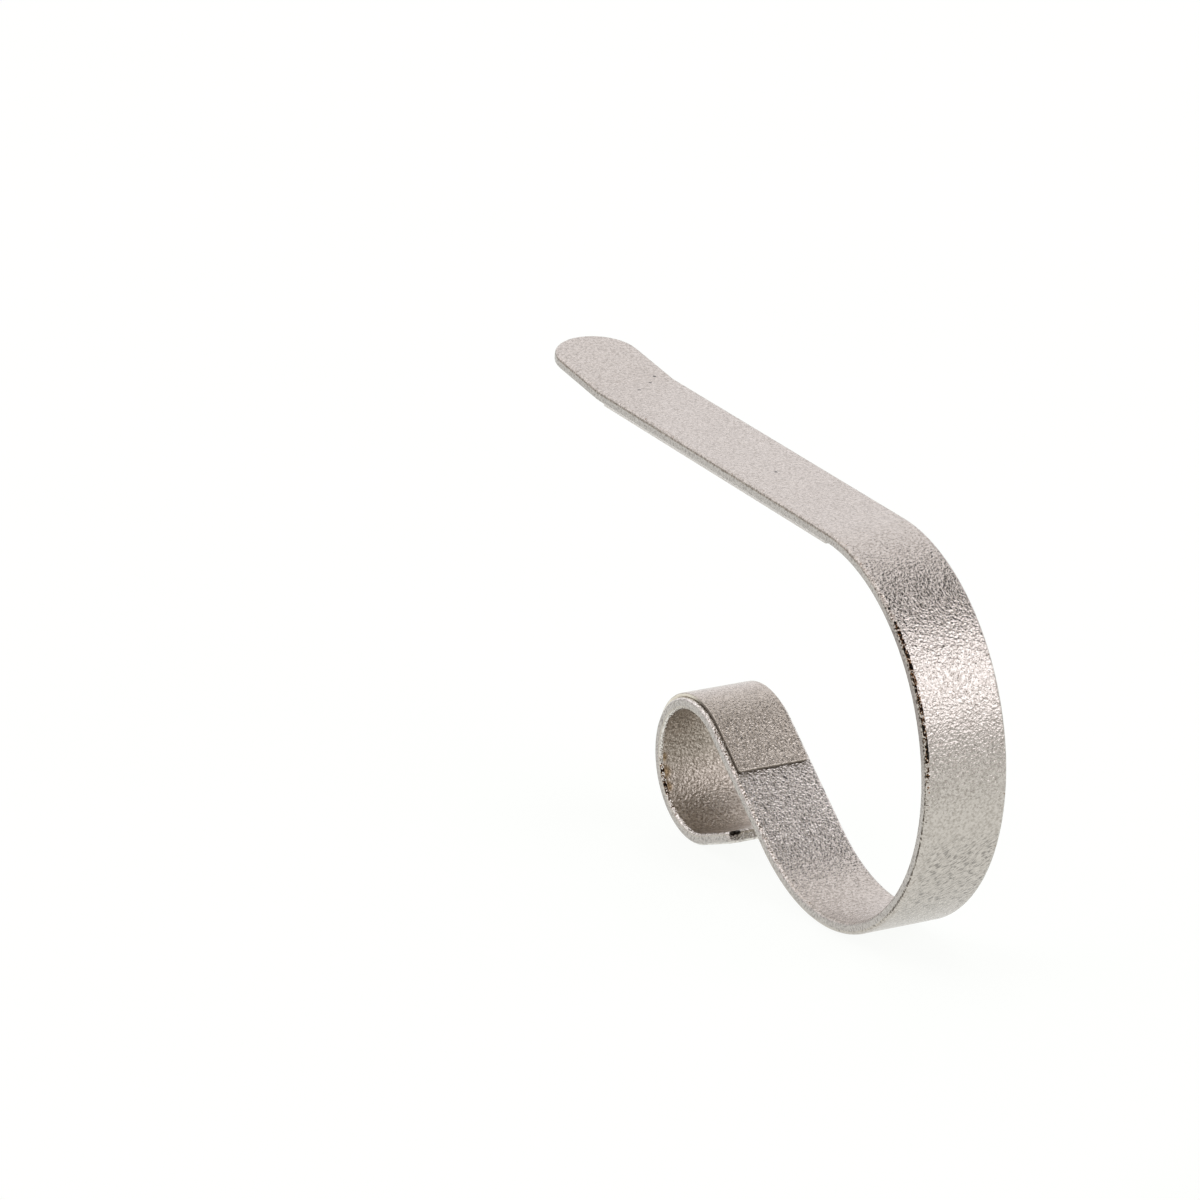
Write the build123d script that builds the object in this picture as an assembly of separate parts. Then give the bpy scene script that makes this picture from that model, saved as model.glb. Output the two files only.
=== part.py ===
# Mantel stocking holder: one flat metal bar bent into a shelf clip with a hook, and two grip pads bonded to it.
# Millimetres. X runs across the bar, Y back along the arm to its tip, and Z up from the table that it stands on.
import os
from math import asin, atan2, copysign, degrees

from build123d import *

# Bar section, punched from sheet: its outer face has rolled edges, and its inner face has bevelled ones
BAR_WIDTH = 19.0
BAR_THICKNESS = 2.6
OUTER_EDGE_RADIUS = 0.8
INNER_EDGE_BEVEL = 0.5

# Arm and its upturned tip, measured along the middle of the bar's thickness
ARM_LENGTH = 96.5
TIP_BEND_RADIUS = 15.0
TIP_TURN = 6.3
TIP_LENGTH = 26.0

# Front bow, hook, rise and curl, measured along the same line
BOW_RADIUS = 41.8
BOW_TURN = 147.0
HOOK_RADIUS = 37.9
HOOK_TURN = 69.0
RISE_LENGTH = 28.8
CURL_RADIUS = 14.7
CURL_TURN = 238.4
END_LENGTH = 13.4
END_CORNER_RADIUS = 2.5

# Grip pads: the arm's pad stops short of the bow, and the curl's pad starts on the rise
PAD_WIDTH = 16.8
PAD_THICKNESS = 0.9
ARM_PAD_LENGTH = 95.0
ARM_PAD_SETBACK = 1.5
CURL_PAD_LEAD = 11.4
CURL_PAD_TURN = 126.0

# Edges whose faces meet at more than this angle, in degrees, are sharp
SHARP_ANGLE = 30.0

# A point this close to a line lies on it
ON_LINE = 0.001

# The bar from its tip to the end of its curl: straight runs as (length, 0), bends as (radius, turn to the left)
BAR_STEPS = [
    (TIP_LENGTH, 0),
    (TIP_BEND_RADIUS, -TIP_TURN),
    (ARM_LENGTH, 0),
    (BOW_RADIUS, BOW_TURN),
    (HOOK_RADIUS, HOOK_TURN),
    (RISE_LENGTH, 0),
    (CURL_RADIUS, -CURL_TURN),
    (END_LENGTH, 0),
]


def follow(start, direction, steps, offset=0.0):
    """Edges that follow the steps at a distance to the left of the line that they describe."""
    point = start + direction.rotate(Axis.Z, 90) * offset
    edges = []
    for size, turn in steps:
        if turn == 0:
            edge = Line(point, point + direction * size)
        else:
            edge = JernArc(point, direction, size - offset * copysign(1, turn), turn)
        edges.append(edge)
        point, direction = edge @ 1, edge % 1
    return edges


def strip(start, direction, steps, low, high, width):
    """Solid strip along the steps, between two distances from their line. Sketched flat, then set upright in YZ."""
    lower = follow(start, direction, steps, low)
    upper = follow(start, direction, steps, high)
    ends = [Line(lower[0] @ 0, upper[0] @ 0), Line(lower[-1] @ 1, upper[-1] @ 1)]
    side = make_face(lower + upper + ends)
    return extrude(Plane.YZ * side, amount=width / 2, both=True)


def upright(vector):
    """A sketch vector, set upright in YZ."""
    return Vector(0, vector.X, vector.Y)


def sharp_edges(shape, line):
    """Edges where two faces meet at an angle, of those that lie on a line of the sketch, seen from the side."""
    faces = shape.faces()
    found = ShapeList()
    for edge in shape.edges():
        middle = edge @ 0.5
        normals = [face.normal_at(middle) for face in faces if edge in face.edges()]
        sharp = len(normals) == 2 and normals[0].get_angle(normals[1]) > SHARP_ANGLE
        seen_from_side = Vertex(middle.Y, middle.Z, 0)
        if sharp and min(part.distance_to(seen_from_side) for part in line) < ON_LINE:
            found.append(edge)
    return found


# Line of the bar, from the tip's end. The arm runs straight forward, so the tip starts off by its own angle.
bar_start = Vector(0, 0)
bar_direction = Vector(-1, 0).rotate(Axis.Z, TIP_TURN)
tip, tip_bend, arm, bow, hook, rise, curl, end = follow(bar_start, bar_direction, BAR_STEPS)
inner_face = BAR_THICKNESS / 2
outer_face = -BAR_THICKNESS / 2


def make_bent_bar():
    """The bar, with a full round tip, rounded corners at the curl's end and soft edges all along."""
    bar = strip(bar_start, bar_direction, BAR_STEPS, outer_face, inner_face, BAR_WIDTH)

    half = BAR_WIDTH / 2
    outside_tip = Rectangle(BAR_WIDTH, half, align=(Align.CENTER, Align.MIN)) - Pos(0, half) * Circle(half)
    across = Vector(1, 0, 0)
    tip_plane = Plane(upright(bar_start), x_dir=across, z_dir=across.cross(upright(bar_direction)))
    bar -= extrude(tip_plane * outside_tip, amount=BAR_THICKNESS, both=True)

    end_face = bar.faces().sort_by_distance(upright(end @ 1))[0]
    bar = fillet(end_face.edges().filter_by(Axis.X, reverse=True), END_CORNER_RADIUS)

    outer_line = follow(bar_start, bar_direction, BAR_STEPS, outer_face)
    inner_line = follow(bar_start, bar_direction, BAR_STEPS, inner_face)
    bar = fillet(sharp_edges(bar, outer_line), OUTER_EDGE_RADIUS)
    return chamfer(sharp_edges(bar, inner_line), INNER_EDGE_BEVEL)


def make_arm_grip_pad():
    """Flat pad under the arm."""
    direction = arm % 1
    start = (arm @ 1) - direction * (ARM_PAD_SETBACK + ARM_PAD_LENGTH)
    steps = [(ARM_PAD_LENGTH, 0)]
    return strip(start, direction, steps, inner_face, inner_face + PAD_THICKNESS, PAD_WIDTH)


def make_curl_grip_pad():
    """Pad that starts on the rise and wraps over the curl to its back."""
    direction = rise % 1
    start = (rise @ 1) - direction * CURL_PAD_LEAD
    steps = [(CURL_PAD_LEAD, 0), (CURL_RADIUS, -CURL_PAD_TURN)]
    return strip(start, direction, steps, inner_face, inner_face + PAD_THICKNESS, PAD_WIDTH)


def lean_angle():
    """Angle, in degrees, that sets the bottoms of the hook and of the curl on one level."""
    between = curl.center_point - hook.center_point
    drop = (CURL_RADIUS - HOOK_RADIUS) / between.length
    return degrees(asin(drop) - atan2(between.Y, between.X))


leaning = Rot(X=lean_angle())
pieces = {
    "bent_bar": leaning * make_bent_bar(),
    "arm_grip_pad": leaning * make_arm_grip_pad(),
    "curl_grip_pad": leaning * make_curl_grip_pad(),
}

# The origin is on the table, under the middle of the clip.
box = pieces["bent_bar"].bounding_box()
standing = Pos(0, -box.center().Y, -box.min.Z)

os.makedirs("parts", exist_ok=True)
for name, piece in pieces.items():
    export_step(standing * piece, f"parts/{name}.step")
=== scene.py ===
# Mantel stocking holder: looks of the bent nickel bar and its two grip pads, with floor, light and camera.
# Sizes are in millimetres, and become metres where they reach a mesh, a relief or the camera.
from collections import namedtuple
from math import asin, atan2, copysign, cos, pi, radians, sin

import bmesh
import bpy
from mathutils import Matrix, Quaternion, Vector


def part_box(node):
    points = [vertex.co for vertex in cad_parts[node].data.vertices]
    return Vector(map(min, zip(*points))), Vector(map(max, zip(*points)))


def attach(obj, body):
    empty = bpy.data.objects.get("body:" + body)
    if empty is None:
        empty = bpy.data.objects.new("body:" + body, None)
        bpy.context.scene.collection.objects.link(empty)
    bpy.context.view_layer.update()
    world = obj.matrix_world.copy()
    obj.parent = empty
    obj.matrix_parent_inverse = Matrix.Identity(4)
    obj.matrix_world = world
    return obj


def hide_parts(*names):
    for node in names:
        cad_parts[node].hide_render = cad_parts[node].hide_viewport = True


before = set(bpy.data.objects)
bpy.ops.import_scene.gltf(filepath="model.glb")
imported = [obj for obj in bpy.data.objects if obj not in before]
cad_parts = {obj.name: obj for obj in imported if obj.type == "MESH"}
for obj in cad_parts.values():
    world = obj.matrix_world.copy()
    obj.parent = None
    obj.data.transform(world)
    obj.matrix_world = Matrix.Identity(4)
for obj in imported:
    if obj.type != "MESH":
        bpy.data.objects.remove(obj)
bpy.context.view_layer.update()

MM = 0.001

# Bar section
BAR_WIDTH = 19.0
BAR_THICKNESS = 2.6
BAR_EDGE_RADIUS = 0.8

# Line of the bar, from its tip to the end of its curl: lengths of straight runs, and bends as (radius, turn)
TIP_TURN = 6.3
TIP_LENGTH = 26.0
TIP_BEND = (15.0, -TIP_TURN)
ARM_LENGTH = 96.5
BOW = (41.8, 147.0)
HOOK = (37.9, 69.0)
RISE_LENGTH = 28.8
CURL = (14.7, -238.4)
END_LENGTH = 13.4
END_CORNER_RADIUS = 2.5

# Grip pads
PAD_WIDTH = 16.8
PAD_THICKNESS = 0.9
PAD_CORNER_RADIUS = 0.5
PAD_EDGE_RADIUS = 0.2
ARM_PAD_LENGTH = 95.0
ARM_PAD_SETBACK = 1.5
CURL_PAD_LEAD = 11.4
CURL_PAD_TURN = 126.0

# Mesh spacing, and the distance within which vertices are joined
ROW_SPACING = 1.2
COLUMN_SPACING = 1.2
EDGE_MARGIN = 0.3
CORNER_ROWS = 10
EDGE_SEGMENTS = 6
WELD_DISTANCE = 0.001

# Material slots of a piece: its two faces and the rim between them. The bar also has its rounded corners and
# the burred line below the outer one, whose dark colour is partly a painted reflection of the tent's dark
# gaps.
FACE_SLOT, RIM_SLOT, CORNER_SLOT, BURR_AND_REFLECTION_SLOT = 0, 1, 2, 3

# Slots of the strips that make up the rim, from the outer face down: a rounding, a flat strip, a rounding
SIDE_STRIPS = 2
CORNER_STRIPS = EDGE_SEGMENTS - SIDE_STRIPS
BAR_OUTER_RIM = [CORNER_SLOT] * CORNER_STRIPS + [BURR_AND_REFLECTION_SLOT] * SIDE_STRIPS
BAR_INNER_RIM = [RIM_SLOT] * SIDE_STRIPS + [CORNER_SLOT] * CORNER_STRIPS
BAR_RIM = BAR_OUTER_RIM + [RIM_SLOT] + BAR_INNER_RIM
PAD_RIM = [RIM_SLOT] * EDGE_SEGMENTS + [RIM_SLOT] + [FACE_SLOT] * EDGE_SEGMENTS

# Noise of the finish, in features per millimetre
TONE_SCALE = 0.08
GRAIN_SCALE = 1.7
RELIEF_SCALE = 1.8
SWELL_SCALE = 0.5
SHEEN_SCALE = 2.2
DARK_GLINT_SCALE = 1.3
WRINKLE_SCALE = 2.4

# Broad patches of tone, share of the broad swell in the relief, and levels of noise at which roughness varies
TONE_TINT = (0.95, 0.95, 0.95, 1)
SWELL_SHARE = 0.3
SHEEN_LEVELS = (0.3, 0.7)

# Sandy grain: colours of its peaks and its pits, and the levels of noise between which the pits fade out. The
# pits' darker colour is random tone, and partly painted shade that stands in for shade in the grain's hollows
Grain = namedtuple("Grain", "peak pit levels")
NICKEL = Grain((0.612, 0.574, 0.526, 1), (0.405, 0.372, 0.332, 1), (0.30, 0.62))
# Painted shade inside the curl: a tint that makes the plating there darker and browner
CURL_PAINTED_SHADE = Grain((1.0, 0.965, 0.925, 1), (0.74, 0.70, 0.65, 1), (0.38, 0.62))
# Painted highlight: a brighter colour for the rounded corners from the hook to the curl
CORNER_PAINTED_HIGHLIGHT = Grain((0.80, 0.77, 0.725, 1), (0.48, 0.45, 0.41, 1), (0.34, 0.60))
# Punched edge: its own colour, darker partly as painted shade
PUNCHED_EDGE_AND_SHADE = Grain((0.52, 0.49, 0.455, 1), (0.31, 0.285, 0.265, 1), (0.30, 0.55))
# Burred line: dark colours, partly a painted reflection of the tent's dark gaps; the broken one's black marks
# are painted dark glints
EVEN_BURR_AND_REFLECTION = Grain((0.46, 0.42, 0.37, 1), (0.23, 0.195, 0.16, 1), (0.36, 0.66))
BROKEN_BURR_AND_REFLECTION = Grain((0.55, 0.51, 0.455, 1), (0.07, 0.055, 0.042, 1), (0.38, 0.60))
CLEAR_FILM = Grain((0.57, 0.52, 0.455, 1), (0.32, 0.285, 0.24, 1), (0.32, 0.60))

# Zones of the finish and of its painted light and shade: each fades in between two places along Y and between
# two heights
Zone = namedtuple("Zone", "back height")
SMOOTH_BOW = Zone((-55, -64), (42, 50))
PAINTED_WRINKLE_BOW = Zone((-64, -72), (34, 26))
DARK_GLINT_BOW = Zone((-64.5, -71.5), (35, 51))
DARK_GLINT_CURL = Zone((23, 25), (16, 13))
RISE_PAINTED_LIGHT = Zone((-34, -17), (46, 38))
CORNER_HIGHLIGHT_ZONE = Zone((-32, -18), (60, 45))
EDGE_PAINTED_SHADE_ZONE = Zone((-60, -71), (42, 52))
BURR_REFLECTION_ON_ARM = Zone((-62, -50), (60, 70))
BURR_REFLECTION_ON_BOW = Zone((-60, -70), (4, 14))
BURR_REFLECTION_FAINTER = Zone((-65, -50), (60, 20))

# Distances from a bend's round face, or from where its corner starts, between which a finish, or its painted
# light and shade, fades in there
RECESS_FADE = (0.9, 0.2)
WRINKLE_FADE = (-0.9, -0.4)
DARK_GLINT_BOW_FADE = (-0.3, 0.0)
DARK_GLINT_CURL_FADE = (0.3, 0.0)

# The inside of the curl is duller, and the upper bow is smoother and glossier
RECESS_DULLED = 0.22
SMOOTH_BOW_DULLED = -0.065
SMOOTH_BOW_RAISED = -0.06

# Painted light on the rise, a paler and bluer tint standing in for its reflection. It ends at the curl,
# between two places along Y
RISE_PAINTED_LIGHT_END = (4, 0)
RISE_PAINTED_LIGHT_TINT = (1.03, 1.045, 1.06, 1)

# Wrinkles low on the bow, drawn in colour only: a darker tone that is a painted reflection of the shade under
# the bow, painted shade in their dips and painted highlights on their crests. Directions across and along
# them, how far they are drawn out, and their colours. They are faint at the bar's left edge, and full from a
# little way in.
WRINKLE_ACROSS = (-0.50, -0.45, 0.74)
WRINKLE_ALONG = (0.85, -0.28, 0.45)
WRINKLE_STRETCH = 3.3
WRINKLE_MARGIN = (-8.5, -5.5)
WRINKLE_FAINT = 0.2
WRINKLE_PAINTED_SHADE = (0.538, 0.504, 0.460, 1)
WRINKLE_PAINTED_SHADE_SHARE = 0.5
WRINKLE_DIP_PAINTED_SHADE = (0.54, 0.54, 0.54, 1)
WRINKLE_DIP_SHADE_LEVELS = (0.50, 0.36)
WRINKLE_CREST_PAINTED_HIGHLIGHT = (1.09, 1.09, 1.09, 1)
WRINKLE_CREST_HIGHLIGHT_LEVELS = (0.53, 0.64)

# Painted dark glints on the corners, a painted reflection of the dark room: how common they are, more so in
# two zones, and their brown rims and dark middles. On the bow they are on the left half only.
DARK_GLINT_SHARE = 0.25
DARK_GLINT_SHARE_ON_BOW = 0.27
DARK_GLINT_SHARE_ON_CURL = 0.24
DARK_GLINT_BOW_SIDE = (0, -5)
DARK_GLINT_BROWN_RIM = (0.25, 0.13, 0.05, 1)
DARK_GLINT_BROWN_RIM_LEVELS = (0.05, 0.02)
DARK_GLINT_BLACK_MIDDLE = (0.02, 0.017, 0.014, 1)
DARK_GLINT_BLACK_MIDDLE_LEVELS = (0.01, -0.03)

# Punched edge and burred line: tint of the edge's painted shade on the upper bow, and how much rarer the dark
# marks of the burr and its painted reflection get
EDGE_PAINTED_SHADE_TINT = (0.68, 0.65, 0.64, 1)
BURR_REFLECTION_SHIFT = 0.07
BURR_REFLECTION_SHIFT_ON_BOW = -0.10
BURR_REFLECTION_SHIFT_FAINTER = 0.08

# Dark specks on the faces, painted dark glints on the rim and amber patches painted as a reflection of the
# warm
# room: (distance along the bar, offset across it, radius). Their full tint reaches out to a share of the
# radius.
FACE_SPECKS = [
    (24.5, 5.75, 0.42),
    (27.4, 3.25, 0.4),
    (30.6, -1.25, 0.43),
    (88.9, -0.75, 0.42),
    (230.9, 6.5, 0.5),
]
# Amber patches at the back of the curl, a painted reflection of the warm room
FACE_AMBER_REFLECTIONS = [(340.0, -8.8, 1.6), (343.5, -8.8, 2.2), (347.0, -8.8, 1.8)]
# Painted dark glints on the rim, a painted reflection, on the upper bow and at the bar's end
RIM_DARK_GLINTS = [(150.3, -9.0, 0.4), (153.6, -9.2, 0.4), (380.0, -8.7, 1.1), (380.4, -7.6, 1.1)]
SPECK_AND_GLINT_TINT = (0.05, 0.045, 0.04, 1)
SPECK_AND_GLINT_CORE = 0.7
AMBER_REFLECTION_TINT = (0.80, 0.66, 0.47, 1)
AMBER_REFLECTION_CORE = 0.3

# Cut edges of the film, painted with light and shade: the arm's is painted light, as if lit from the floor
# below, and the curl's is painted shade at the front and painted light at the back. Front and back colours,
# and the places along Y between which one turns into the other
ARM_FILM_EDGE_PAINTED_LIGHT = ((0.78, 0.755, 0.72, 1), (0.84, 0.815, 0.78, 1), (0, 60))
CURL_FILM_EDGE_PAINTED_SHADE_AND_LIGHT = ((0.17, 0.143, 0.115, 1), (0.95, 0.92, 0.78, 1), (10, 16))

# Floor, lit from below. Its light fades towards the front, between two distances in one direction.
FLOOR_SIZE = 8000
FLOOR_EDGE_AZIMUTH = 150
FLOOR_EDGE_START = 130
FLOOR_EDGE_STOP = 460
FLOOR_EDGE_LEVEL = 0.42
FLOOR_LIGHT = 0.92
FLOOR_LIGHT_COLOUR = (0.99, 1.0, 0.985, 1)
FLOOR_PATCH_SCALE = 0.01
FLOOR_COLOURS = ((0.09, 0.093, 0.09, 1), (0.10, 0.103, 0.10, 1))

# Tent of light. Its lamp and its dim patches are (azimuth, elevation, inner angle, outer angle), and have a
# level or a share of the tent's level.
TENT_LEVEL = 1.12
TENT_COLOUR = (1.035, 1.0, 1.025, 1)
RIGHT_PATCH = (90, 44.5, 15, 24)
RIGHT_PATCH_LEVEL = 0.03
BACK_PATCH = (-32, 5, 7, 20)
BACK_PATCH_SHARE = 0.35
LEFT_LAMP = (-88, 56, 10, 24)
LEFT_LAMP_LEVEL = 0.8
CAMERA_GAP = (-135, 32, 28, 46)
CAMERA_GAP_SHARE = 0.05
CAMERA_GAP_COLOUR = (1.0, 0.6, 0.36, 1)

# Soft box in the tent: (azimuth, elevation) of its middle, and where it fades in across, upwards and ahead,
# as parts of a unit vector
SOFT_BOX = (141.6, 32.5)
SOFT_BOX_ACROSS = (0.5, 0.42)
SOFT_BOX_UPWARDS = (0.248, 0.176)
SOFT_BOX_AHEAD = (0.0, 0.1)
SOFT_BOX_LEVEL = 1.05
SOFT_BOX_COLOUR = (1.04, 1.02, 1.08, 1)

# Camera of the photograph
CAMERA_AIM = Vector((0.0, 71.99, 36.02)) * MM
CAMERA_DISTANCE = 1400 * MM
CAMERA_AZIMUTH = -28.41
CAMERA_ELEVATION = 18.44
CAMERA_ROLL = 0.1
CAMERA_LENS = 190.33


class BarLine:
    """Middle line of the bar in YZ, from its tip, standing on the bottoms of its hook and its curl."""

    STEPS = [(TIP_LENGTH, 0), TIP_BEND, (ARM_LENGTH, 0), BOW, HOOK, (RISE_LENGTH, 0), CURL, (END_LENGTH, 0)]

    def __init__(self):
        self.starts = []
        self.length = 0.0
        point, heading = Vector((0.0, 0.0)), pi + radians(TIP_TURN)
        for size, turn in self.STEPS:
            self.starts.append((self.length, point, heading))
            length = radians(abs(turn)) * size if turn else size
            point, heading = self.walk(point, heading, size, turn, length)
            self.length += length
        self.lean, self.shift = 0.0, Vector((0.0, 0.0))
        self.lean = self.lean_angle()
        self.stand()

    @staticmethod
    def walk(point, heading, size, turn, distance):
        """Point and heading at a distance along one step."""
        if not turn:
            return point + Vector((cos(heading), sin(heading))) * distance, heading
        side = copysign(1, turn)
        swept = side * distance / size
        centre = point + Vector((-sin(heading), cos(heading))) * side * size
        heading += swept
        return centre - Vector((-sin(heading), cos(heading))) * side * size, heading

    def centre(self, step):
        """Centre of a bend, before the line leans."""
        index = self.STEPS.index(step)
        size, turn = step
        _, point, heading = self.starts[index]
        return point + Vector((-sin(heading), cos(heading))) * copysign(size, turn)

    def lean_angle(self):
        """Angle that sets the bottoms of the hook and of the curl on one level."""
        between = self.centre(CURL) - self.centre(HOOK)
        return asin((CURL[0] - HOOK[0]) / between.length) - atan2(between.y, between.x)

    def stand(self):
        """Moves the leaning line to where the frame's bar stands."""
        low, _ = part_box("bent_bar")
        outer = BAR_THICKNESS / 2
        hook = self.turned(self.centre(HOOK))
        bow = self.turned(self.centre(BOW))
        self.shift = Vector((low.y / MM + BOW[0] + outer - bow.x, HOOK[0] + outer - hook.y))

    def turned(self, point):
        return Vector((point.x * cos(self.lean) - point.y * sin(self.lean),
                       point.x * sin(self.lean) + point.y * cos(self.lean)))

    def placed(self, point):
        return self.turned(point) + self.shift

    def at(self, distance):
        """(point, direction to the outer face) at a distance from the tip, both in YZ."""
        index = max(i for i, (start, _, _) in enumerate(self.starts) if start <= max(distance, 0.0))
        start, point, heading = self.starts[index]
        size, turn = self.STEPS[index]
        point, heading = self.walk(point, heading, size, turn, distance - start)
        return self.placed(point), self.turned(Vector((sin(heading), -cos(heading))))

    def start_of(self, step):
        """Distance from the tip at which a step starts."""
        return self.starts[self.STEPS.index(step)][0]


def spaced(start, stop, spacing):
    """Values from start to stop, both included, about a spacing apart."""
    count = max(1, round(abs(stop - start) / spacing))
    return [start + (stop - start) * i / count for i in range(count + 1)]


def plan_rows(start, stop, half_width, corners, inset):
    """Rows of a flat blank, inset from its edge: (distance, half width, outward direction) from start to
    stop."""
    first, last = corners
    rows = []
    for i in range(CORNER_ROWS + 1):
        angle = pi / 2 * i / CORNER_ROWS
        rows.append((start + first - (first - inset) * cos(angle),
                     half_width - first + (first - inset) * sin(angle), (-cos(angle), sin(angle))))
    for distance in spaced(start + first, stop - last, ROW_SPACING)[1:-1]:
        rows.append((distance, half_width - inset, (0.0, 1.0)))
    for i in range(CORNER_ROWS + 1):
        angle = pi / 2 * i / CORNER_ROWS
        rows.append((stop - last + (last - inset) * sin(angle),
                     half_width - last + (last - inset) * cos(angle), (sin(angle), cos(angle))))
    return rows


def folded_blank(name, line, start, stop, width, corners, heights, edge_radius, rim):
    """Mesh of a flat blank with rounded corners and edges, folded along the bar's line. Heights are towards
    the outer face."""
    low, high = heights
    half = width / 2
    rows = plan_rows(start, stop, half, corners, edge_radius)
    margin = EDGE_MARGIN / (half - edge_radius)
    columns = [-1.0] + spaced(-1 + margin, 1 - margin, COLUMN_SPACING / half) + [1.0]

    mesh = bmesh.new()

    def vertex(distance, across, height):
        point, outer = line.at(distance)
        point = point + outer * height
        return mesh.verts.new(Vector((across, point.x, point.y)) * MM)

    def face_grid(height):
        return [[vertex(distance, reach * share, height) for share in columns] for distance, reach, _ in rows]

    top, bottom = face_grid(high), face_grid(low)
    for grid in (top, bottom):
        for row, following in zip(grid, grid[1:]):
            for j in range(len(columns) - 1):
                mesh.faces.new((row[j], row[j + 1], following[j + 1], following[j]))

    # The edge of the blank, once round: (row, column, outward direction)
    last_row, last_column = len(rows) - 1, len(columns) - 1
    border = [(i, last_column, rows[i][2]) for i in range(last_row)]
    border += [(last_row, j, (1.0, 0.0)) for j in range(last_column, 0, -1)]
    border += [(i, 0, (rows[i][2][0], -rows[i][2][1])) for i in range(last_row, 0, -1)]
    border += [(0, j, (-1.0, 0.0)) for j in range(last_column)]

    # Rings of the rim, from the outer face down
    turns = [pi / 2 * k / EDGE_SEGMENTS for k in range(1, EDGE_SEGMENTS + 1)]
    section = [(edge_radius * sin(t), high - edge_radius * (1 - cos(t))) for t in turns]
    section += [(edge_radius * cos(t), low + edge_radius * (1 - sin(t))) for t in [0.0] + turns[:-1]]
    rings = [[top[i][j] for i, j, _ in border]]
    for out, height in section:
        ring = []
        for i, j, (ahead, aside) in border:
            distance, reach, _ = rows[i]
            ring.append(vertex(distance + ahead * out, reach * columns[j] + aside * out, height))
        rings.append(ring)
    rings.append([bottom[i][j] for i, j, _ in border])
    for slot, ring, following in zip(rim, rings, rings[1:]):
        for k in range(len(border)):
            after = (k + 1) % len(border)
            face = mesh.faces.new((ring[k], ring[after], following[after], following[k]))
            face.material_index = slot

    bmesh.ops.remove_doubles(mesh, verts=mesh.verts, dist=WELD_DISTANCE * MM)
    bmesh.ops.recalc_face_normals(mesh, faces=mesh.faces)
    for face in mesh.faces:
        face.smooth = True
    data = bpy.data.meshes.new(name)
    mesh.to_mesh(data)
    mesh.free()
    piece = bpy.data.objects.new(name, data)
    bpy.context.scene.collection.objects.link(piece)
    return piece


class Nodes:
    """Short forms for adding nodes to a tree. A value is a number, a tuple or another node's output."""

    # Places of a mix node's colours among its inputs and its outputs
    FIRST_COLOUR, SECOND_COLOUR, MIXED_COLOUR = 6, 7, 2

    def __init__(self, tree):
        self.tree = tree
        tree.nodes.clear()

    def add(self, kind, inputs=(), output=0, **settings):
        node = self.tree.nodes.new(kind)
        for key, value in settings.items():
            setattr(node, key, value)
        for key, value in dict(inputs).items():
            if isinstance(value, bpy.types.NodeSocket):
                self.tree.links.new(value, node.inputs[key])
            else:
                node.inputs[key].default_value = value
        return node.outputs[output] if node.outputs else None

    def math(self, operation, first, second=0.0, third=0.0):
        return self.add("ShaderNodeMath", {0: first, 1: second, 2: third}, operation=operation)

    def product(self, first, second):
        return self.math("MULTIPLY", first, second)

    def dot(self, first, second):
        return self.add("ShaderNodeVectorMath", {0: first, 1: second}, "Value", operation="DOT_PRODUCT")

    def distance(self, first, second):
        return self.add("ShaderNodeVectorMath", {0: first, 1: second}, "Value", operation="DISTANCE")

    def part(self, vector, axis):
        return self.add("ShaderNodeSeparateXYZ", {0: vector}, axis)

    def ramp(self, value, start, stop, low=0.0, high=1.0):
        """Smooth step from low, where the value is start, to high, where it is stop."""
        inputs = {"Value": value, "From Min": start, "From Max": stop, "To Min": low, "To Max": high}
        return self.add("ShaderNodeMapRange", inputs, interpolation_type="SMOOTHSTEP")

    def mix(self, share, first, second, blend_type="MIX"):
        inputs = {"Factor": share, self.FIRST_COLOUR: first, self.SECOND_COLOUR: second}
        return self.add("ShaderNodeMix", inputs, self.MIXED_COLOUR, data_type="RGBA", blend_type=blend_type)

    def tint(self, share, colour, factor):
        return self.mix(share, colour, factor, "MULTIPLY")

    def noise(self, vector, scale, detail=2.0, roughness=0.5):
        inputs = {"Vector": vector, "Scale": scale, "Detail": detail, "Roughness": roughness}
        return self.add("ShaderNodeTexNoise", inputs, "Fac")

    def millimetres(self):
        """Place on the piece, in millimetres of the part's frame."""
        place = self.add("ShaderNodeTexCoord", output="Object")
        return self.add("ShaderNodeVectorMath", {0: place, "Scale": 1 / MM}, operation="SCALE")


def new_material(name):
    material = bpy.data.materials.new(name)
    material.use_nodes = True
    return material, Nodes(material.node_tree)


def grain_colour(nodes, place, grain, shift=0.0):
    """Colour of a sandy grain with broad patches. A shift of its noise upwards makes the pits rarer."""
    tone = nodes.tint(nodes.noise(place, TONE_SCALE, detail=3.0), grain.peak, TONE_TINT)
    level = nodes.math("ADD", nodes.noise(place, GRAIN_SCALE, roughness=0.6), shift)
    return nodes.mix(nodes.ramp(level, *grain.levels), grain.pit, tone)


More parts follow.
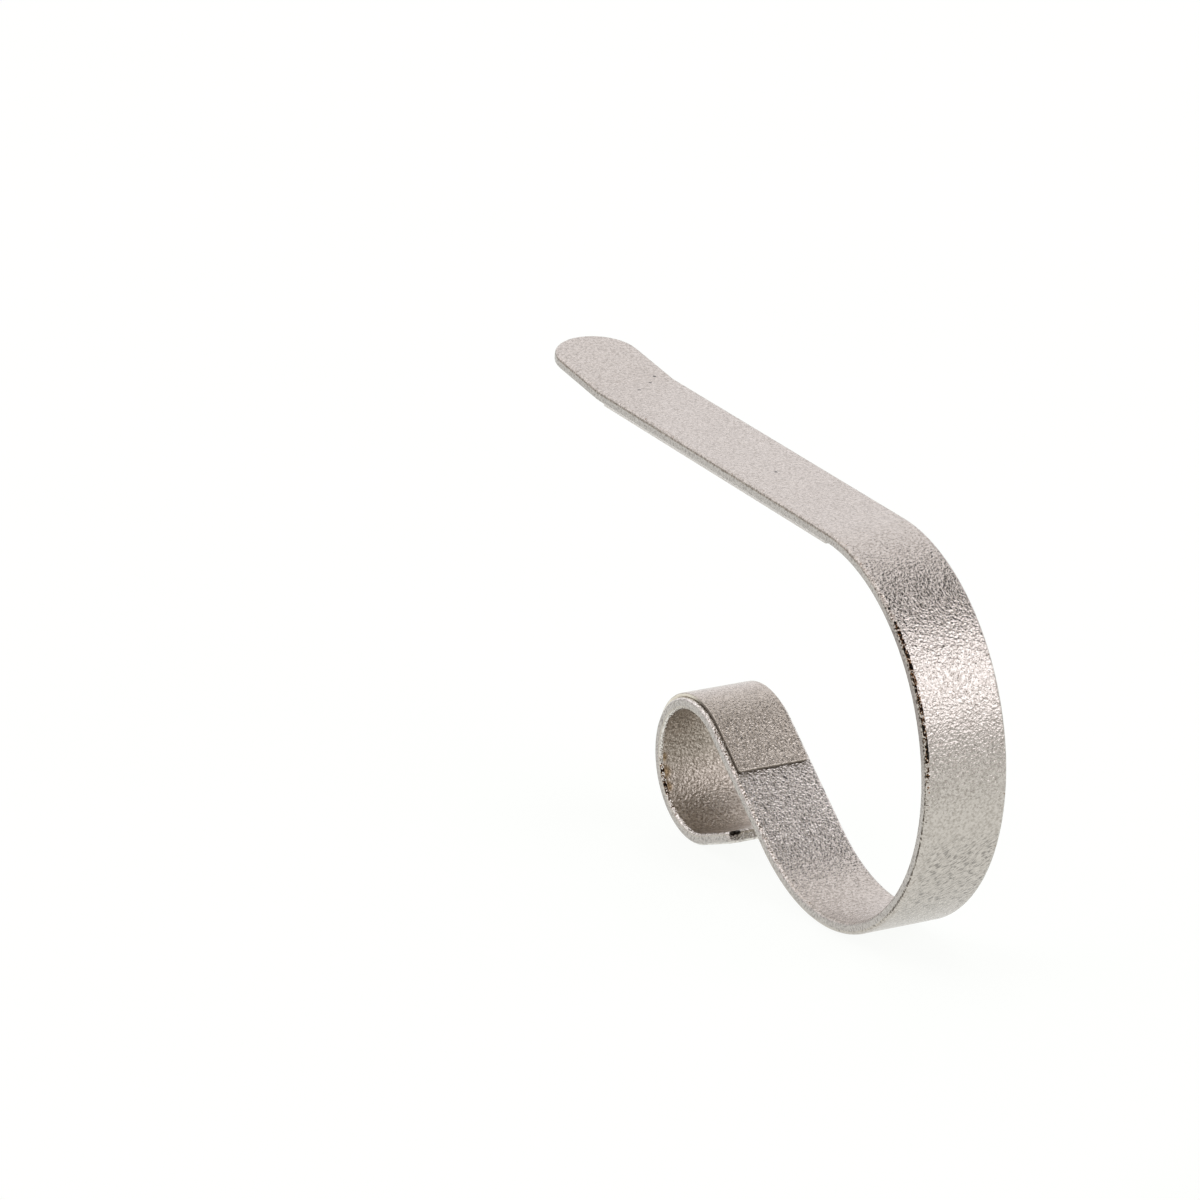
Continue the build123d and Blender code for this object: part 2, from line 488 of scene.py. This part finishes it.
def finish(nodes, place, colour, roughness, depth, dulled=0.0, raised=1.0, **values):
    """Shader with a fine sandy relief of a depth in millimetres, and a roughness that varies between two
    values. Raised scales the relief, and dulled adds to the roughness."""
    fine = nodes.noise(place, RELIEF_SCALE, detail=1.0, roughness=0.6)
    height = nodes.math("MULTIPLY_ADD", nodes.noise(place, SWELL_SCALE, detail=1.0), SWELL_SHARE, fine)
    height = nodes.product(height, raised)
    normal = nodes.add("ShaderNodeBump", {"Strength": 1.0, "Distance": depth * MM, "Height": height})
    uneven = nodes.ramp(nodes.noise(place, SHEEN_SCALE), *SHEEN_LEVELS, *roughness)
    uneven = nodes.math("ADD", uneven, dulled)
    inputs = {"Base Color": colour, "Roughness": uneven, "Normal": normal}
    inputs.update({key.replace("_", " "): value for key, value in values.items()})
    shader = nodes.add("ShaderNodeBsdfPrincipled", inputs)
    nodes.add("ShaderNodeOutputMaterial", {"Surface": shader})


def near_bend(nodes, place, line, bend, radius, fade):
    """1 at a radius from the axis of one of the bar's bends, fading in between two distances from there."""
    axis = line.placed(line.centre(bend))
    from_side = nodes.add("ShaderNodeVectorMath", {0: place, 1: (0, 1, 1)}, operation="MULTIPLY")
    from_axis = nodes.distance(from_side, (0, axis.x, axis.y))
    start, full = fade
    return nodes.ramp(from_axis, radius + start, radius + full)


def within(nodes, place, zone):
    """1 in a zone, fading to 0 outside it."""
    return nodes.product(nodes.ramp(nodes.part(place, "Y"), *zone.back),
                         nodes.ramp(nodes.part(place, "Z"), *zone.height))


def slanted(nodes, place, across, along, stretch):
    """Place in a slanted grid that is drawn out along one direction, in which noise comes out as strokes."""
    inputs = {"X": nodes.dot(place, across), "Y": nodes.math("DIVIDE", nodes.dot(place, along), stretch)}
    return nodes.add("ShaderNodeCombineXYZ", inputs)


def spotted(nodes, place, line, colour, spots, tint, core):
    """A colour with tinted spots round places on the outer face. They fade out from a share of the radius."""
    for along, across, radius in spots:
        point, outer = line.at(along)
        point = point + outer * BAR_THICKNESS / 2
        from_spot = nodes.distance(place, (across, point.x, point.y))
        colour = nodes.tint(nodes.ramp(from_spot, radius, radius * core), colour, tint)
    return colour


def painted_wrinkles(nodes, place, line, colour):
    """A colour with slanted wrinkles low on the bow, drawn as painted shade and painted highlights over a
    darker tone that is a painted reflection of shade.
    """
    outside = BOW[0] + BAR_THICKNESS / 2
    share = near_bend(nodes, place, line, BOW, outside, WRINKLE_FADE)
    share = nodes.product(share, within(nodes, place, PAINTED_WRINKLE_BOW))
    share = nodes.product(share, nodes.ramp(nodes.part(place, "X"), *WRINKLE_MARGIN, WRINKLE_FAINT))
    grid = slanted(nodes, place, WRINKLE_ACROSS, WRINKLE_ALONG, WRINKLE_STRETCH)
    strokes = nodes.noise(grid, WRINKLE_SCALE, detail=1.0)
    shaded_dips = nodes.product(share, nodes.ramp(strokes, *WRINKLE_DIP_SHADE_LEVELS))
    lit_crests = nodes.product(share, nodes.ramp(strokes, *WRINKLE_CREST_HIGHLIGHT_LEVELS))
    # Painted reflection of the shade under the bow, then painted shade in the dips and painted highlights on
    # the crests
    colour = nodes.mix(nodes.product(share, WRINKLE_PAINTED_SHADE_SHARE), colour, WRINKLE_PAINTED_SHADE)
    colour = nodes.tint(shaded_dips, colour, WRINKLE_DIP_PAINTED_SHADE)
    return nodes.tint(lit_crests, colour, WRINKLE_CREST_PAINTED_HIGHLIGHT)


def satin_nickel(line):
    """Plated faces: painted shade inside the curl, darker and browner; wrinkles low on the bow, drawn as
    painted shade and painted highlights; painted light on the rise, paler and bluer; a few specks; and amber
    patches that are a painted reflection at the back of the curl. The upper bow is a little smoother."""
    material, nodes = new_material("satin_nickel")
    place = nodes.millimetres()
    colour = grain_colour(nodes, place, NICKEL)

    inside = CURL[0] - BAR_THICKNESS / 2
    recess = near_bend(nodes, place, line, CURL, inside, RECESS_FADE)
    # Painted shade inside the curl, darker and browner, standing in for the shade in its hollow
    colour = nodes.tint(recess, colour, grain_colour(nodes, place, CURL_PAINTED_SHADE))
    colour = painted_wrinkles(nodes, place, line, colour)
    # Painted light on the rise: paler and bluer
    before_curl = nodes.ramp(nodes.part(place, "Y"), *RISE_PAINTED_LIGHT_END)
    pale = nodes.product(within(nodes, place, RISE_PAINTED_LIGHT), before_curl)
    colour = nodes.tint(pale, colour, RISE_PAINTED_LIGHT_TINT)
    colour = spotted(nodes, place, line, colour, FACE_SPECKS, SPECK_AND_GLINT_TINT, SPECK_AND_GLINT_CORE)
    # Amber patches at the back of the curl, a painted reflection
    colour = spotted(nodes, place, line, colour, FACE_AMBER_REFLECTIONS, AMBER_REFLECTION_TINT, AMBER_REFLECTION_CORE)

    smooth = within(nodes, place, SMOOTH_BOW)
    dulled = nodes.math("MULTIPLY_ADD", recess, RECESS_DULLED, nodes.product(smooth, SMOOTH_BOW_DULLED))
    raised = nodes.math("MULTIPLY_ADD", smooth, SMOOTH_BOW_RAISED, 1.0)
    finish(nodes, place, colour, roughness=(0.14, 0.27), depth=0.255, dulled=dulled, raised=raised,
           Metallic=1.0)
    return material


def nickel_corner(line):
    """Rounded corners of the bar: painted brighter from the hook to the curl, a painted highlight. The outer
    one has painted dark glints, a painted reflection, on one side of the upper bow and at the back of the
    curl."""
    material, nodes = new_material("nickel_corner")
    place = nodes.millimetres()
    plated = grain_colour(nodes, place, NICKEL)
    highlighted = grain_colour(nodes, place, CORNER_PAINTED_HIGHLIGHT)
    # Painted highlight on the corners from the hook to the curl
    colour = nodes.mix(within(nodes, place, CORNER_HIGHLIGHT_ZONE), plated, highlighted)

    outside = BOW[0] + BAR_THICKNESS / 2 - BAR_EDGE_RADIUS
    on_bow = near_bend(nodes, place, line, BOW, outside, DARK_GLINT_BOW_FADE)
    on_bow = nodes.product(on_bow, within(nodes, place, DARK_GLINT_BOW))
    on_bow = nodes.product(on_bow, nodes.ramp(nodes.part(place, "X"), *DARK_GLINT_BOW_SIDE))
    inside = CURL[0] - BAR_THICKNESS / 2 + BAR_EDGE_RADIUS
    on_curl = near_bend(nodes, place, line, CURL, inside, DARK_GLINT_CURL_FADE)
    on_curl = nodes.product(on_curl, within(nodes, place, DARK_GLINT_CURL))

    # Painted dark glints: brown rims and black middles, a painted reflection of the dark room
    glint_share = nodes.math("MULTIPLY_ADD", on_bow, DARK_GLINT_SHARE_ON_BOW, DARK_GLINT_SHARE)
    glint_share = nodes.math("MULTIPLY_ADD", on_curl, DARK_GLINT_SHARE_ON_CURL, glint_share)
    glint_level = nodes.math("SUBTRACT", nodes.noise(place, DARK_GLINT_SCALE), glint_share)
    colour = nodes.mix(nodes.ramp(glint_level, *DARK_GLINT_BROWN_RIM_LEVELS), colour, DARK_GLINT_BROWN_RIM)
    colour = nodes.mix(nodes.ramp(glint_level, *DARK_GLINT_BLACK_MIDDLE_LEVELS), colour, DARK_GLINT_BLACK_MIDDLE)
    colour = spotted(nodes, place, line, colour, RIM_DARK_GLINTS, SPECK_AND_GLINT_TINT, SPECK_AND_GLINT_CORE)
    finish(nodes, place, colour, roughness=(0.08, 0.25), depth=0.34, Metallic=1.0)
    return material


def nickel_edge(line):
    """Punched edge of the bar, its darker tone partly painted shade, with more painted shade on the upper
    bow.
    """
    material, nodes = new_material("nickel_edge")
    place = nodes.millimetres()
    colour = grain_colour(nodes, place, PUNCHED_EDGE_AND_SHADE)
    # Painted shade on the edge over the upper bow
    colour = nodes.tint(within(nodes, place, EDGE_PAINTED_SHADE_ZONE), colour, EDGE_PAINTED_SHADE_TINT)
    colour = spotted(nodes, place, line, colour, RIM_DARK_GLINTS, SPECK_AND_GLINT_TINT, SPECK_AND_GLINT_CORE)
    finish(nodes, place, colour, roughness=(0.10, 0.25), depth=0.30, Metallic=1.0)
    return material


def nickel_burr_and_reflection(line):
    """Thin dark line under the outer corner, a burr whose darkness is partly a painted reflection of the
    tent's dark
    gaps: even on the arm, broken on the bow, and fainter from the hook to the curl."""
    material, nodes = new_material("nickel_burr_and_reflection")
    place = nodes.millimetres()
    even = grain_colour(nodes, place, EVEN_BURR_AND_REFLECTION)
    shift = nodes.math("MULTIPLY_ADD", within(nodes, place, BURR_REFLECTION_ON_BOW), BURR_REFLECTION_SHIFT_ON_BOW, BURR_REFLECTION_SHIFT)
    shift = nodes.math("MULTIPLY_ADD", within(nodes, place, BURR_REFLECTION_FAINTER), BURR_REFLECTION_SHIFT_FAINTER, shift)
    # Broken line with black marks, partly painted dark glints
    broken = grain_colour(nodes, place, BROKEN_BURR_AND_REFLECTION, shift)
    colour = nodes.mix(within(nodes, place, BURR_REFLECTION_ON_ARM), broken, even)
    colour = spotted(nodes, place, line, colour, RIM_DARK_GLINTS, SPECK_AND_GLINT_TINT, SPECK_AND_GLINT_CORE)
    finish(nodes, place, colour, roughness=(0.15, 0.25), depth=0.30, Metallic=1.0)
    return material


def grip_film():
    """Clear textured film over the metal."""
    material, nodes = new_material("grip_film")
    place = nodes.millimetres()
    colour = grain_colour(nodes, place, CLEAR_FILM)
    finish(nodes, place, colour, roughness=(0.22, 0.32), depth=0.31,
           Metallic=0.9, Coat_Weight=0.5, Coat_Roughness=0.25)
    return material


def film_edge(name, front, back, places):
    """Cut edge of the clear film, painted with light and shade, whose colour changes from front to back
    between two places along Y.
    """
    material, nodes = new_material(name)
    place = nodes.millimetres()
    colour = nodes.mix(nodes.ramp(nodes.part(place, "Y"), *places), front, back)
    finish(nodes, place, colour, roughness=(0.45, 0.6), depth=0.08)
    return material


def towards(azimuth, elevation):
    """Unit vector from the object, with azimuth 0 at the back, along +Y, and 90 on the right, along +X."""
    a, e = radians(azimuth), radians(elevation)
    return Vector((sin(a) * cos(e), cos(a) * cos(e), sin(e)))


def make_floor():
    """Pale floor, evenly lit round the object."""
    bpy.ops.mesh.primitive_plane_add(size=FLOOR_SIZE * MM)
    floor = bpy.context.object
    floor.name = "floor"
    material, nodes = new_material("pale_floor")
    place = nodes.millimetres()
    ahead = nodes.dot(place, towards(FLOOR_EDGE_AZIMUTH, 0))
    lit = nodes.ramp(ahead, FLOOR_EDGE_START, FLOOR_EDGE_STOP, 1.0, FLOOR_EDGE_LEVEL)
    colour = nodes.mix(nodes.noise(place, FLOOR_PATCH_SCALE, detail=3.0), *FLOOR_COLOURS)
    inputs = {"Base Color": colour, "Roughness": 0.9, "Specular IOR Level": 0.0,
              "Emission Color": FLOOR_LIGHT_COLOUR, "Emission Strength": nodes.product(lit, FLOOR_LIGHT)}
    shader = nodes.add("ShaderNodeBsdfPrincipled", inputs)
    nodes.add("ShaderNodeOutputMaterial", {"Surface": shader})
    floor.data.materials.append(material)


def make_light():
    """Bright tent round the object, with a soft box at the front right, a lamp high on the left, dim patches
    on the right and low at the back, and a dark gap round the camera."""
    world = bpy.data.worlds.new("studio")
    bpy.context.scene.world = world
    world.use_nodes = True
    nodes = Nodes(world.node_tree)
    direction = nodes.add("ShaderNodeTexCoord", output="Generated")

    def spot(azimuth, elevation, inner, outer):
        """1 within the inner angle of a direction, fading to 0 at the outer angle."""
        near = nodes.dot(direction, towards(azimuth, elevation))
        return nodes.ramp(near, cos(radians(outer)), cos(radians(inner)))

    box_middle = towards(*SOFT_BOX)
    box_side = Vector((0, 0, 1)).cross(box_middle).normalized()
    box_up = box_middle.cross(box_side)
    aside = nodes.math("ABSOLUTE", nodes.dot(direction, box_side))
    above = nodes.math("ABSOLUTE", nodes.dot(direction, box_up))
    ahead = nodes.ramp(nodes.dot(direction, box_middle), *SOFT_BOX_AHEAD)
    soft_box = nodes.product(nodes.ramp(aside, *SOFT_BOX_ACROSS), nodes.ramp(above, *SOFT_BOX_UPWARDS))
    soft_box = nodes.product(soft_box, ahead)

    gap = spot(*CAMERA_GAP)
    level = nodes.ramp(spot(*RIGHT_PATCH), 0.0, 1.0, TENT_LEVEL, RIGHT_PATCH_LEVEL)
    level = nodes.product(level, nodes.ramp(spot(*BACK_PATCH), 0.0, 1.0, 1.0, BACK_PATCH_SHARE))
    level = nodes.math("ADD", level, nodes.product(soft_box, SOFT_BOX_LEVEL))
    level = nodes.math("ADD", level, nodes.product(spot(*LEFT_LAMP), LEFT_LAMP_LEVEL))
    level = nodes.product(level, nodes.ramp(gap, 0.0, 1.0, 1.0, CAMERA_GAP_SHARE))
    colour = nodes.mix(soft_box, TENT_COLOUR, SOFT_BOX_COLOUR)
    colour = nodes.mix(gap, colour, CAMERA_GAP_COLOUR)
    background = nodes.add("ShaderNodeBackground", {"Color": colour, "Strength": level})
    nodes.add("ShaderNodeOutputWorld", {"Surface": background})


def make_camera():
    """Camera at the photograph's viewing angle."""
    data = bpy.data.cameras.new("camera")
    data.lens = CAMERA_LENS
    camera = bpy.data.objects.new("camera", data)
    bpy.context.scene.collection.objects.link(camera)
    azimuth, elevation = radians(CAMERA_AZIMUTH), radians(CAMERA_ELEVATION)
    back = Vector((sin(azimuth) * cos(elevation), -cos(azimuth) * cos(elevation), sin(elevation)))
    camera.location = CAMERA_AIM + back * CAMERA_DISTANCE
    camera.rotation_mode = "QUATERNION"
    level = (-back).to_track_quat("-Z", "Y")
    camera.rotation_quaternion = level @ Quaternion((0, 0, 1), radians(CAMERA_ROLL))
    bpy.context.scene.camera = camera


def make_pieces():
    """The plated bar and the two films, each in place of its node."""
    line = BarLine()
    half = BAR_THICKNESS / 2
    bar_corners = (BAR_WIDTH / 2, END_CORNER_RADIUS)
    bar = folded_blank("bent_bar_plated", line, 0.0, line.length, BAR_WIDTH, bar_corners, (-half, half),
                       BAR_EDGE_RADIUS, BAR_RIM)

    def pad(name, start, stop):
        corners = (PAD_CORNER_RADIUS, PAD_CORNER_RADIUS)
        heights = (-half - PAD_THICKNESS, -half)
        return folded_blank(name, line, start, stop, PAD_WIDTH, corners, heights, PAD_EDGE_RADIUS, PAD_RIM)

    arm_end = line.start_of(BOW) - ARM_PAD_SETBACK
    arm_pad = pad("arm_grip_film", arm_end - ARM_PAD_LENGTH, arm_end)
    curl_start = line.start_of(CURL)
    curl_pad_end = curl_start + radians(CURL_PAD_TURN) * CURL[0]
    curl_pad = pad("curl_grip_film", curl_start - CURL_PAD_LEAD, curl_pad_end)

    # Materials of each piece, in the order of its slots
    nickel = (satin_nickel(line), nickel_edge(line), nickel_corner(line), nickel_burr_and_reflection(line))
    film = grip_film()
    # Film edges painted with light and shade
    arm_film = (film, film_edge("arm_film_edge_painted_light", *ARM_FILM_EDGE_PAINTED_LIGHT))
    curl_film = (film, film_edge("curl_film_edge_painted_shade_and_light", *CURL_FILM_EDGE_PAINTED_SHADE_AND_LIGHT))
    for piece, node, slot, materials in (
        (bar, "bent_bar", "satin_nickel", nickel),
        (arm_pad, "arm_grip_pad", "grip_pad", arm_film),
        (curl_pad, "curl_grip_pad", "grip_pad", curl_film),
    ):
        for material in materials:
            piece.data.materials.append(material)
        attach(piece, "root")
        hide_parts(node)


make_pieces()
make_floor()
make_light()
make_camera()
bpy.context.scene.view_settings.view_transform = "Standard"
